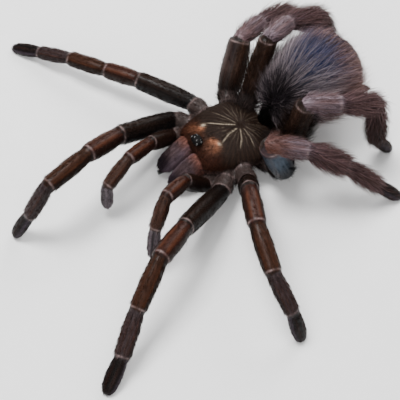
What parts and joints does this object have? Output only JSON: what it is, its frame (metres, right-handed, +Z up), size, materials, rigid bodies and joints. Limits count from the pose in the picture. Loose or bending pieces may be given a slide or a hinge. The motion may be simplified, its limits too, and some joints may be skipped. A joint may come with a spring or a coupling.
{
  "type": "tarantula",
  "caption": "Large hairy tarantula standing at rest, legs bent and spread, pedipalps held forward, flat domed carapace and oval abdomen.",
  "frame": {"origin": "on the floor under the middle of the bounding box", "axes": "+X to the animal's left, +Y to its rear, +Z up"},
  "size_m": [0.158, 0.1431, 0.0362],
  "materials": {
    "rust_brown_hair": "short rust brown hair over chitin, matte",
    "near_black_hair": "short near-black hair over chitin, matte with a faint sheen",
    "smoky_brown_hair": "smoky brown hair, matte",
    "olive_brown_velvet": "fine olive brown velvet, matte",
    "grey_lilac_fur": "grey and lilac short fur with longer brown hairs",
    "purple_brown_hair": "purple brown hair",
    "black_horn": "smooth black chitin, glossy"
  },
  "bodies": {
    "root": {"abdomen": "grey_lilac_fur", "carapace": "olive_brown_velvet", "chelicera_left": "purple_brown_hair", "chelicera_right": "purple_brown_hair", "eyes": "black_horn", "fang_left": "black_horn", "fang_right": "black_horn", "forebody_underside": "near_black_hair", "leg_left_1_femur": "near_black_hair", "leg_left_1_metatarsus": "smoky_brown_hair", "leg_left_1_patella": "rust_brown_hair", "leg_left_1_tarsus": "near_black_hair", "leg_left_1_tibia": "rust_brown_hair", "leg_left_2_femur": "near_black_hair", "leg_left_2_metatarsus": "smoky_brown_hair", "leg_left_2_patella": "rust_brown_hair", "leg_left_2_tarsus": "near_black_hair", "leg_left_2_tibia": "rust_brown_hair", "leg_left_3_femur": "near_black_hair", "leg_left_3_metatarsus": "smoky_brown_hair", "leg_left_3_patella": "rust_brown_hair", "leg_left_3_tarsus": "near_black_hair", "leg_left_3_tibia": "rust_brown_hair", "leg_left_4_femur": "near_black_hair", "leg_left_4_metatarsus": "smoky_brown_hair", "leg_left_4_patella": "rust_brown_hair", "leg_left_4_tarsus": "near_black_hair", "leg_left_4_tibia": "rust_brown_hair", "leg_right_1_femur": "near_black_hair", "leg_right_1_metatarsus": "smoky_brown_hair", "leg_right_1_patella": "rust_brown_hair", "leg_right_1_tarsus": "near_black_hair", "leg_right_1_tibia": "rust_brown_hair", "leg_right_2_femur": "near_black_hair", "leg_right_2_metatarsus": "smoky_brown_hair", "leg_right_2_patella": "rust_brown_hair", "leg_right_2_tarsus": "near_black_hair", "leg_right_2_tibia": "rust_brown_hair", "leg_right_3_femur": "near_black_hair", "leg_right_3_metatarsus": "smoky_brown_hair", "leg_right_3_patella": "rust_brown_hair", "leg_right_3_tarsus": "near_black_hair", "leg_right_3_tibia": "rust_brown_hair", "leg_right_4_femur": "near_black_hair", "leg_right_4_metatarsus": "smoky_brown_hair", "leg_right_4_patella": "rust_brown_hair", "leg_right_4_tarsus": "near_black_hair", "leg_right_4_tibia": "rust_brown_hair", "palp_left_femur": "near_black_hair", "palp_left_patella": "rust_brown_hair", "palp_left_tarsus": "near_black_hair", "palp_left_tibia": "rust_brown_hair", "palp_right_femur": "near_black_hair", "palp_right_patella": "rust_brown_hair", "palp_right_tarsus": "near_black_hair", "palp_right_tibia": "rust_brown_hair", "pedicel": "near_black_hair", "spinneret_left": "near_black_hair", "spinneret_right": "near_black_hair"}
  },
  "joints": []
}
